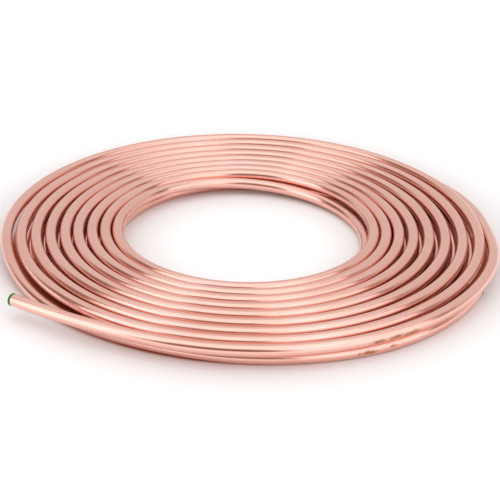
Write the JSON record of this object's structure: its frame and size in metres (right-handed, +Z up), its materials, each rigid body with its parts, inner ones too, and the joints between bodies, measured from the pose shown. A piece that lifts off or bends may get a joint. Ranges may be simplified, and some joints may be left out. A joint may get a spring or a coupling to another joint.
{
  "type": "copper tube coil",
  "caption": "Flat coil of soft copper tube wound in two stacked spiral layers, with both free ends outside and closed by push-in plugs.",
  "frame": {"origin": "on the coil's axis, at the level of the floor that the lower layer lies on", "axes": "+Z up along the coil's axis, out of its upper face; +X to the coil's right side in the picture and +Y away from the camera"},
  "size_m": [0.4068, 0.4075, 0.0197],
  "materials": {
    "copper": "bright drawn copper, soft annealed, semi-gloss",
    "green_plastic": "moulded green polyethylene, satin"
  },
  "bodies": {
    "root": {"copper_tube": "copper", "upper_end_plug": "green_plastic", "lower_end_plug": "green_plastic"}
  },
  "joints": []
}
